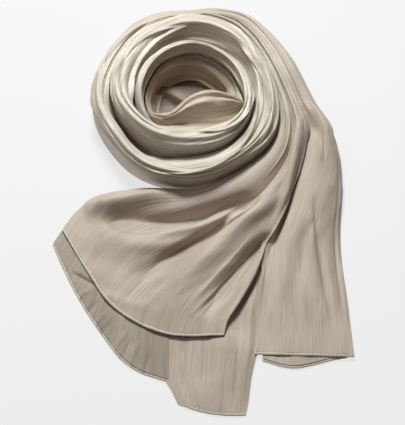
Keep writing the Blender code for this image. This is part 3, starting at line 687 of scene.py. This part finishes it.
def make_cloth(node, base, points, finish, surface="crinkle_satin",
               hem_node=None):
    """A thin shell of cloth on its grid of points, with its hem; the model's parts that they stand for are
    hidden.
    """
    uv = cloth_uv(base, finish.cloth_width)
    piece = make_piece(f"{node}_cloth", points, grid_faces(*points.shape[:2]), material(surface), uv)
    shell = piece.modifiers.new("Cloth", "SOLIDIFY")
    shell.thickness = bpy.context.scene.scarf_sizes.thickness
    shell.offset = -1
    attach(piece, "root")
    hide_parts(node)
    hems = [make_hem(hem_node, points)] if hem_node else []
    for hem in hems:
        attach(hem, "root")
        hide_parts(hem.name.removesuffix("_stitched"))


def turn_base(start, stop, across):
    """The plain outer side of the spiral, from one angle to another."""
    angle = np.linspace(start, stop, int(round((stop - start) / TURN_STEP)) + 1)
    radius, height = inner_foot(angle)
    foot = np.stack([*polar(radius, angle), height], -1)
    crest = np.stack([*polar(turn_at("crest", angle), angle), turn_at("height", angle)], -1)
    outer = np.stack([*polar(turn_at("valley", angle), angle), turn_at("dip", angle)], -1)
    return rolled(foot, crest, outer, across, amount(TURN_TUCK, angle), amount(TURN_FULL, angle))


def bight_base(rows, across):
    """The plain side of the centre fold, from its foot in the hollow over the lip."""
    place = np.linspace(0, len(BIGHT) - 1, rows)
    foot, lip, outer = (
        np.stack([column(BIGHT, name, place) for name in names], -1)
        for names in (("foot_x", "foot_y", "foot_z"), ("x", "y", "z"), ("out_x", "out_y", "out_z"))
    )
    return rolled(foot, lip, outer, across, amount(BIGHT_TUCK, place), amount(BIGHT_FULL, place))


def left_upper_base(rows, across):
    """The plain left end: five points across each row, at the edges, crease and bowed middles.

    A roll rises on each side of the crease as the absolute value of a sine, flattened at its top.
    """
    t = np.linspace(0, 1, across)
    place = np.linspace(0, len(LEFT_UPPER) - 1, rows)
    value = {name: column(LEFT_UPPER, name, place) for name in Row._fields}
    left = np.stack([value["x"], value["y"]], -1)
    crease = np.stack([value["crease_x"], value["crease_y"]], -1)
    right = np.stack([value["right_x"], value["right_y"]], -1)
    middles = []
    for a, b, bow in ((left, crease, value["bow"]), (crease, right, value["bow_right"])):
        chord = b - a
        side = np.stack([chord[:, 1], -chord[:, 0]], -1)
        side = side / np.maximum(np.linalg.norm(chord, axis=1, keepdims=True), 1e-6)
        middles.append((a + b) / 2 + side * bow[:, None])
    plan = through(np.stack([left, middles[0], crease, middles[1], right]), t * 4)
    level = np.stack([value["z"], value["crease_z"], value["right_z"]])
    u = t * 2
    first = np.minimum(u.astype(int), 1)
    rise = level[first] + (level[first + 1] - level[first]) * (u - first)[:, None]
    bump = np.abs(np.sin(2 * math.pi * t)) ** 0.8
    roll = np.where(t[:, None] < 0.5, value["roll"][None, :], value["fold"][None, :])
    grid = np.concatenate([plan, (rise + roll * bump[:, None])[..., None]], -1)
    return clear_of_coil(grid.transpose(1, 0, 2))


def clear_of_coil(points):
    """Points beside the coil moved out to its outermost turn."""
    x, y = points[..., 0], points[..., 1]
    heading, radius = heading_of(x, y), np.hypot(x, y)
    least = turn_at("valley", heading + 360) + GAP
    beside = (heading > BESIDE_FROM) & (heading < BESIDE_TO) & (radius < least)
    scale = np.where(beside, least / np.maximum(radius, 1), 1)
    return np.stack([x * scale, y * scale, points[..., 2]], -1)


def right_upper_base(rows, across):
    """The plain right end: level beside the left end, then down to the table in a soft curve.

    Its start is tucked in towards the coil's axis, or straight left once it is past the axis.
    """
    t = np.linspace(0, 1, across)[None, :]
    place = np.linspace(0, len(RIGHT_UPPER) - 1, rows)
    value = {name: column(RIGHT_UPPER, name, place)[:, None] for name in Band._fields}
    beside = np.maximum(value["y"], 0)
    tuck = amount(RIGHT_TUCK, value["y"]) / np.hypot(value["x"], beside)
    start_x, start_y = value["x"] * (1 - tuck), value["y"] - beside * tuck
    reach = 1 - (1 - t) ** 1.25
    rise = (value["z"] - UNDER_LEFT - value["foot_z"]) * np.sqrt(1 - t ** 3)
    grid = np.empty((rows, across, 3))
    grid[..., 0] = start_x + (value["foot_x"] - start_x) * reach
    grid[..., 1] = start_y + (value["foot_y"] - start_y) * reach
    grid[..., 2] = value["foot_z"] + rise + value["roll"] * np.sin(math.pi * t)
    return grid


def flat_base(table, rows, across):
    """A panel on the table at the height of its top, bowed a little along its rows."""
    place = np.linspace(0, len(table) - 1, rows)
    value = {name: column(table, name, place)[:, None] for name in Strip._fields}
    t = np.linspace(0, 1, across)[None, :]
    across_x = value["end_x"] - value["x"]
    across_y = value["end_y"] - value["y"]
    length = np.hypot(across_x, across_y)
    bow = value["bow"] * 4 * t * (1 - t)
    grid = np.full((rows, across, 3), FLOOR_LAYER)
    grid[..., 0] = value["x"] + across_x * t + bow * across_y / length
    grid[..., 1] = value["y"] + across_y * t - bow * across_x / length
    return grid


def lay_cloth(node, hem, base, folds=(), creases=(), lowest=None, surface="crinkle_satin"):
    """A stretch of cloth laid on its plain grid, with its hem."""
    finish = FINISH[node]
    points = crinkled(base, finish, folds, creases=creases, lowest=lowest)
    make_cloth(node, base, points, finish, surface, hem)


def make_panel(node, hem, table, folds=(), creases=(), turned=True, surface="crinkle_satin"):
    """A panel that lies on the table, with its hem; turned means that its cloth runs across the rows."""
    base = flat_base(table, *PANEL_GRID)
    along, t = (np.linspace(0, 1, count) for count in PANEL_GRID)
    base[..., 2] += relief(folds, along[:, None], t[None, :])
    if turned:
        base = base.transpose(1, 0, 2)[:, ::-1]
    lay_cloth(node, hem, base, creases=creases, surface=surface)


def core_rings(around):
    """Rings of the hidden layers from the middle of the hollow out, down to the table and back in.

    The hollow's floor is level but for its creases, its wall rises in a quarter ellipse, and the top
    falls towards the table in another, which ends in a low edge.
    """
    angle = np.arange(around) * 360 / around
    x, y = polar(1, angle)
    place = np.linspace(0, len(BIGHT) - 1, LINE_POINTS)
    foot_x, foot_y = column(BIGHT, "foot_x", place), column(BIGHT, "foot_y", place) - CORE_Y
    hollow = np.interp(angle, heading_of(foot_x, foot_y), np.hypot(foot_x, foot_y), period=360)
    edge = np.interp(angle, [row.angle for row in CORE], [row.reach for row in CORE])
    near = [np.roll(hollow, step) for step in range(-around // 20, around // 20 + 1)]
    wall = np.max(near, axis=0) + CORE_CLEAR
    shoulder = wall + CORE_SHOULDER
    sections = [(hollow * share, HOLLOW_FLOOR) for share in np.linspace(CORE_HUB, 0.96, FLOOR_RINGS)]
    for rise in (0.25, 0.6, 0.85, 1.0):
        a = rise * math.pi / 2
        height = HOLLOW_FLOOR + (CORE_TOP - HOLLOW_FLOOR) * math.sin(a)
        sections.append((wall + (shoulder - wall) * (1 - math.cos(a)), height))
    for fall in (0.25, 0.5, 0.72, 0.88, 0.97, 1.0):
        share = math.sqrt(max(1 - fall ** 2.6, 0)) * (1 - CORE_FOOT) + CORE_FOOT
        sections.append((shoulder + (edge - shoulder) * fall, CORE_TOP * share))
    sections += [(edge, 0), (edge * CORE_HUB, 0)]
    rings = np.array([
        np.stack([x * radius, CORE_Y + y * radius, np.full(around, float(height))], -1)
        for radius, height in sections
    ])
    floor = rings[:FLOOR_RINGS]
    rise = np.clip(creased(HOLLOW_CREASES, floor[..., 0], floor[..., 1], False), 0, 20)
    floor[..., 2] += rise * np.linspace(1, 0.1, FLOOR_RINGS)[:, None] ** 0.3
    return rings


def add_node(tree, kind, inputs=None, **settings):
    """A shader node with its settings; inputs maps sockets to values or to other nodes' sockets."""
    made = tree.nodes.new("ShaderNode" + kind)
    for name, value in settings.items():
        setattr(made, name, value)
    for name, value in (inputs or {}).items():
        if isinstance(value, bpy.types.NodeSocket):
            tree.links.new(value, made.inputs[name])
        else:
            made.inputs[name].default_value = value
    return made


def new_material(name):
    """An empty node-based material and its node tree."""
    made = bpy.data.materials.new(name)
    made.use_nodes = True
    made.node_tree.nodes.clear()
    return made, made.node_tree


def crinkle_satin(name, light, dark, shaded_end_light, shaded_end_dark, roughness):
    """Polyester satin, woven smooth and then pressed into lasting lengthwise crinkles.

    Its long floats give a broad soft gloss, and the crinkle breaks it into fine bright lines.
    The tone falls from the coil's to the ends' darker one, which is painted shade.
    Streaks are 2.2 mm wide and 60 mm long, and the bump is of threads drawn 1 mm apart, since real
    ones at 0.2 mm are too fine to show.
    """
    made, tree = new_material(name)
    cloth = add_node(tree, "UVMap", uv_map="cloth").outputs["UV"]
    place = add_node(tree, "TexCoord").outputs["Object"]
    streak_scale = (1 / (2.2 * MM), 1 / (60 * MM), 1)
    streak_at = add_node(tree, "Mapping", {"Vector": cloth, "Scale": streak_scale}).outputs[0]
    streak = add_node(tree, "TexNoise", {"Vector": streak_at, "Scale": 1.0, "Detail": 3.0})
    soft = add_node(tree, "TexNoise", {"Vector": place, "Scale": 14.0, "Detail": 2.0})
    tone = add_node(tree, "Math", {0: streak.outputs["Fac"], 1: soft.outputs["Fac"]}, operation="ADD")
    share = add_node(tree, "MapRange", {"Value": tone.outputs[0], "From Min": 0.78, "From Max": 1.22})
    level = add_node(tree, "VectorMath", {0: place, 1: (1, 1, 0)}, operation="MULTIPLY").outputs[0]
    axis = (COIL_X * MM, COIL_Y * MM, 0)
    away = add_node(tree, "VectorMath", {0: level, 1: axis}, operation="DISTANCE").outputs["Value"]
    # coil is 1 near the axis and 0 at the ends: it mixes the coil's lighter tone into the ends' darker
    # one, painted shade
    coil = add_node(
        tree, "MapRange", {"Value": away, "From Min": ENDS_SHADE_FROM, "From Max": COIL_FROM},
        interpolation_type="SMOOTHSTEP",
    ).outputs[0]
    rough = add_node(tree, "MapRange", {"Value": coil, "To Min": roughness + 0.12, "To Max": roughness})
    dark_tone, light_tone = (
        add_node(tree, "Mix", {0: coil, 6: (*far, 1), 7: (*close, 1)}, data_type="RGBA").outputs[2]
        for far, close in ((shaded_end_dark, dark), (shaded_end_light, light))
    )
    colour = add_node(
        tree, "Mix", {0: share.outputs[0], 6: dark_tone, 7: light_tone}, data_type="RGBA"
    )
    thread_scale = (1 / (1 * MM), 1 / (18 * MM), 1)
    thread_at = add_node(tree, "Mapping", {"Vector": cloth, "Scale": thread_scale}).outputs[0]
    thread = add_node(tree, "TexNoise", {"Vector": thread_at, "Scale": 1.0, "Detail": 2.0})
    bump = add_node(tree, "Bump", {"Height": thread.outputs["Fac"], "Strength": 0.5, "Distance": 0.8 * MM})
    shader = add_node(tree, "BsdfPrincipled", {
        "Base Color": colour.outputs[2],
        "Roughness": rough.outputs[0],
        "IOR": 1.5,
        "Sheen Weight": 0.15,
        "Sheen Roughness": 0.4,
        "Normal": bump.outputs[0],
    })
    add_node(tree, "OutputMaterial", {"Surface": shader.outputs[0]})
    return made


def overlock_thread(name, light, dark):
    """Polyester thread wrapped round the cloth's raw edge by an overlock machine.

    Stitches lie slantwise a few millimetres apart, lighter on top where the thread catches the light.
    """
    made, tree = new_material(name)
    cloth = add_node(tree, "UVMap", uv_map="cloth").outputs["UV"]
    scale = (30, 1 / bpy.context.scene.scarf_sizes.stitch_pitch, 1)
    at = add_node(tree, "Mapping", {"Vector": cloth, "Scale": scale}).outputs[0]
    wave = add_node(
        tree, "TexWave", {"Vector": at, "Scale": 0.314, "Distortion": 1.2, "Detail": 1.0},
        bands_direction="Y",
    ).outputs["Fac"]
    colour = add_node(tree, "Mix", {0: wave, 6: (*dark, 1), 7: (*light, 1)}, data_type="RGBA")
    bump = add_node(tree, "Bump", {"Height": wave, "Strength": 0.5, "Distance": 0.3 * MM})
    inputs = {"Base Color": colour.outputs[2], "Roughness": 0.45, "Normal": bump.outputs[0]}
    shader = add_node(tree, "BsdfPrincipled", inputs)
    add_node(tree, "OutputMaterial", {"Surface": shader.outputs[0]})
    return made


def tones(part):
    """The light and dark colour of one part of the scarf."""
    colours = bpy.context.scene.scarf_colours
    return getattr(colours, f"{part}_light"), getattr(colours, f"{part}_dark")


def material(name):
    """One of the scarf's finishes, made when it is first asked for."""
    if name in bpy.data.materials:
        return bpy.data.materials[name]
    if name in SATINS:
        satin = SATINS[name]
        return crinkle_satin(name, *tones(satin.coil), *tones(satin.ends), satin.roughness)
    return overlock_thread(name, *tones("thread"))


def size_setting(name, description, default):
    """A length in metres that a user may change."""
    return bpy.props.FloatProperty(name=name, description=description, default=default, unit="LENGTH")


def colour_setting(name, description, code):
    """A colour that a user may change, from its sRGB hex code."""
    return bpy.props.FloatVectorProperty(
        name=name, description=description, default=linear(code), subtype="COLOR"
    )


class ScarfSizes(bpy.types.PropertyGroup):
    """Sizes of the cloth and its hems"""

    crinkle_pitch: size_setting("Crinkle pitch", "From one crinkle line to the next", 0.0036)
    crinkle_depth: size_setting("Crinkle depth", "Height of a crinkle above the cloth", 0.0002)
    thickness: size_setting("Cloth thickness", "Thickness of the shown cloth", 0.0009)
    hem_width: size_setting("Hem width", "Width of the overlocked edge", 0.004)
    stitch_pitch: size_setting("Stitch pitch", "From one overlock stitch to the next", 0.003)


class ScarfColours(bpy.types.PropertyGroup):
    """Colours of the cloth, its thread and the table"""

    satin_light: colour_setting("Satin, light", "Lighter streaks of the coil", "#CBC1B5")
    satin_dark: colour_setting("Satin, dark", "Darker streaks of the coil", "#A99C90")
    # The ends take the coil's cloth darkened: painted shade.
    ends_shaded_light: colour_setting("Matte side, light", "Lighter streaks of the ends", "#BCAD9F")
    ends_shaded_dark: colour_setting("Matte side, dark", "Darker streaks of the ends", "#A59587")
    # The centre fold's tones are the cloth browned and darkened: painted shade in the hollow.
    inside_light: colour_setting("Inside, light", "Lighter streaks of the centre fold", "#B7A896")
    inside_dark: colour_setting("Inside, dark", "Darker streaks of the centre fold", "#988673")
    # The layer under the left end: darker tones, painted shade beneath the left end.
    back_light: colour_setting("Back, light", "Lighter streaks of the layer under the left end", "#A7998D")
    back_dark: colour_setting("Back, dark", "Darker streaks of the layer under the left end", "#8B7D72")
    # The hidden layers: the cloth darkened, painted shade deep in the coil.
    hidden_light: colour_setting("Hidden layers, light", "Lighter streaks deep in the coil", "#8A7768")
    hidden_dark: colour_setting("Hidden layers, dark", "Darker streaks deep in the coil", "#6B5A4D")
    thread_light: colour_setting("Thread, light", "Tops of the stitches", "#C6BBAE")
    thread_dark: colour_setting("Thread, dark", "Between the stitches", "#A3978A")
    table: colour_setting("Table", "The plain pale table", "#F7F7F7")


class SCARF_OT_hidden_layers(bpy.types.Operator):
    """Makes the rounded heap of hidden layers that the coil lies on"""

    bl_idname = "scarf.hidden_layers"
    bl_label = "Hidden layers"

    def execute(self, context):
        rings = core_rings(180)
        uv = rings[..., 1::-1] + CORE_SHIFT
        # Its dark tones are painted shade deep in the hollow.
        surface = material("crinkle_satin_hidden_shaded")
        piece = make_piece("hidden_layers_cloth", rings, ring_faces(*rings.shape[:2]), surface, uv)
        cap_ends(piece)
        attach(piece, "root")
        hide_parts("hidden_layers")
        return {"FINISHED"}


class SCARF_OT_coil(bpy.types.Operator):
    """Makes the centre fold and the three turns of the coil"""

    bl_idname = "scarf.coil"
    bl_label = "Coil"

    def execute(self, context):
        finish = FINISH["bight"]
        base = bight_base(180, 110)
        points = crinkled(base, finish, BIGHT_FOLDS)
        # The centre fold takes browner, darker tones: painted shade in the hollow.
        make_cloth("bight", base, points, finish, "crinkle_satin_fold_shaded")
        finish = FINISH["turns"]
        first, last = TURNS[0].angle, TURNS[-1].angle
        base = turn_base(first, last, 130)
        points = crinkled(base, finish, TURN_FOLDS, span=(first, last))
        joins = [int((angle - first) * len(base) / (last - first)) for angle in (first, *JOINS, last)]
        for node, start, stop in zip(("inner_turn", "middle_turn", "outer_turn"), joins, joins[1:]):
            rows = slice(start, stop + 1)
            make_cloth(node, base[rows], points[rows], finish)
        return {"FINISHED"}


class SCARF_OT_left_end(bpy.types.Operator):
    """Makes the left end, its upper layer and the layer under it, with their hems"""

    bl_idname = "scarf.left_end"
    bl_label = "Left end"

    def execute(self, context):
        base = left_upper_base(140, 340)
        lay_cloth("left_tail_upper", "left_upper_hem", base, LEFT_UPPER_FOLDS, LEFT_CREASES, LEFT_LOWEST)
        # Its darker tones are painted shade beneath the left end.
        make_panel("left_tail_under", "left_under_hem", LEFT_UNDER, creases=UNDER_CREASES,
                   surface="crinkle_satin_under_shaded")
        return {"FINISHED"}


class SCARF_OT_right_end(bpy.types.Operator):
    """Makes the right end, its upper layer and the layer under it, with their hems"""

    bl_idname = "scarf.right_end"
    bl_label = "Right end"

    def execute(self, context):
        base = right_upper_base(180, 200)
        lay_cloth("right_tail_upper", "right_upper_hem", base, RIGHT_UPPER_FOLDS, RIGHT_CREASES)
        make_panel("right_tail_under", "right_under_hem", RIGHT_UNDER, RIGHT_UNDER_FOLDS)
        return {"FINISHED"}


class SCARF_OT_middle_fall(bpy.types.Operator):
    """Makes the fall of cloth between the two ends, with its hem"""

    bl_idname = "scarf.middle_fall"
    bl_label = "Middle fall"

    def execute(self, context):
        make_panel("middle_fall", "middle_hem", MIDDLE_FALL, MIDDLE_FALL_FOLDS, MIDDLE_CREASES, False)
        return {"FINISHED"}


class SCARF_OT_stage(bpy.types.Operator):
    """Makes the table, the lights and the camera at the photograph's angle"""

    bl_idname = "scarf.stage"
    bl_label = "Stage"

    def execute(self, context):
        scene = context.scene
        made, tree = new_material("painted_table")
        shader = add_node(tree, "BsdfPrincipled", {
            "Base Color": (*TABLE_PAINT, 1),
            "Roughness": 0.9,
            "Emission Color": (*scene.scarf_colours.table, 1),
            "Emission Strength": TABLE_GLOW,
        })
        add_node(tree, "OutputMaterial", {"Surface": shader.outputs[0]})
        mesh = bpy.data.meshes.new("table")
        corners = [(x * TABLE_HALF, y * TABLE_HALF, 0) for x, y in ((-1, -1), (1, -1), (1, 1), (-1, 1))]
        mesh.from_pydata(corners, [], [(0, 1, 2, 3)])
        mesh.materials.append(made)
        table = bpy.data.objects.new("table", mesh)
        scene.collection.objects.link(table)

        lens = bpy.data.cameras.new("camera")
        lens.sensor_width = SENSOR
        lens.lens = LENS / PHOTO_HEIGHT * SENSOR
        lens.clip_end = 50
        camera = bpy.data.objects.new("camera", lens)
        rise = math.radians(CAMERA_RISE)
        back = np.array([0, -math.cos(rise), math.sin(rise)])
        camera.location = np.array(CAMERA_AIM) + CAMERA_AWAY * back
        camera.rotation_euler = (math.pi / 2 - rise, 0, 0)
        scene.collection.objects.link(camera)
        scene.camera = camera

        for lamp in LAMPS:
            light = bpy.data.lights.new(lamp.name, "AREA")
            light.size = lamp.size
            light.energy = lamp.power
            light.color = LAMP_COLOUR
            placed = bpy.data.objects.new(lamp.name, light)
            placed.location = lamp.place
            away = Vector(lamp.place) - Vector(LAMP_AIM)
            placed.rotation_euler = away.to_track_quat("Z", "Y").to_euler()
            scene.collection.objects.link(placed)

        world = bpy.data.worlds.new("studio")
        world.use_nodes = True
        background = world.node_tree.nodes["Background"]
        background.inputs["Color"].default_value = (*ROOM_COLOUR, 1)
        background.inputs["Strength"].default_value = ROOM_LIGHT
        scene.world = world
        scene.view_settings.view_transform = "Standard"
        return {"FINISHED"}


class SCARF_PT_panel(bpy.types.Panel):
    """Lists the scarf's sizes, colours and operators in the sidebar"""

    bl_idname = "SCARF_PT_panel"
    bl_label = "Scarf"
    bl_space_type = "VIEW_3D"
    bl_region_type = "UI"
    bl_category = "Scarf"

    def draw(self, context):
        for group in (context.scene.scarf_sizes, context.scene.scarf_colours):
            for name in group.__annotations__:
                self.layout.prop(group, name)
        for operator in OPERATORS:
            self.layout.operator(operator.bl_idname)


OPERATORS = (
    SCARF_OT_hidden_layers,
    SCARF_OT_coil,
    SCARF_OT_left_end,
    SCARF_OT_right_end,
    SCARF_OT_middle_fall,
    SCARF_OT_stage,
)
CLASSES = (ScarfSizes, ScarfColours, *OPERATORS, SCARF_PT_panel)


def register():
    """Registers the classes and hangs the sizes and colours on the scene."""
    for made in CLASSES:
        bpy.utils.register_class(made)
    bpy.types.Scene.scarf_sizes = bpy.props.PointerProperty(type=ScarfSizes)
    bpy.types.Scene.scarf_colours = bpy.props.PointerProperty(type=ScarfColours)


def unregister():
    """Takes the sizes, colours and classes away again."""
    del bpy.types.Scene.scarf_colours
    del bpy.types.Scene.scarf_sizes
    for made in reversed(CLASSES):
        bpy.utils.unregister_class(made)


def main():
    """Builds the scarf and its stage."""
    register()
    bpy.ops.scarf.hidden_layers()
    bpy.ops.scarf.coil()
    bpy.ops.scarf.left_end()
    bpy.ops.scarf.right_end()
    bpy.ops.scarf.middle_fall()
    bpy.ops.scarf.stage()


if __name__ == "__main__":
    main()
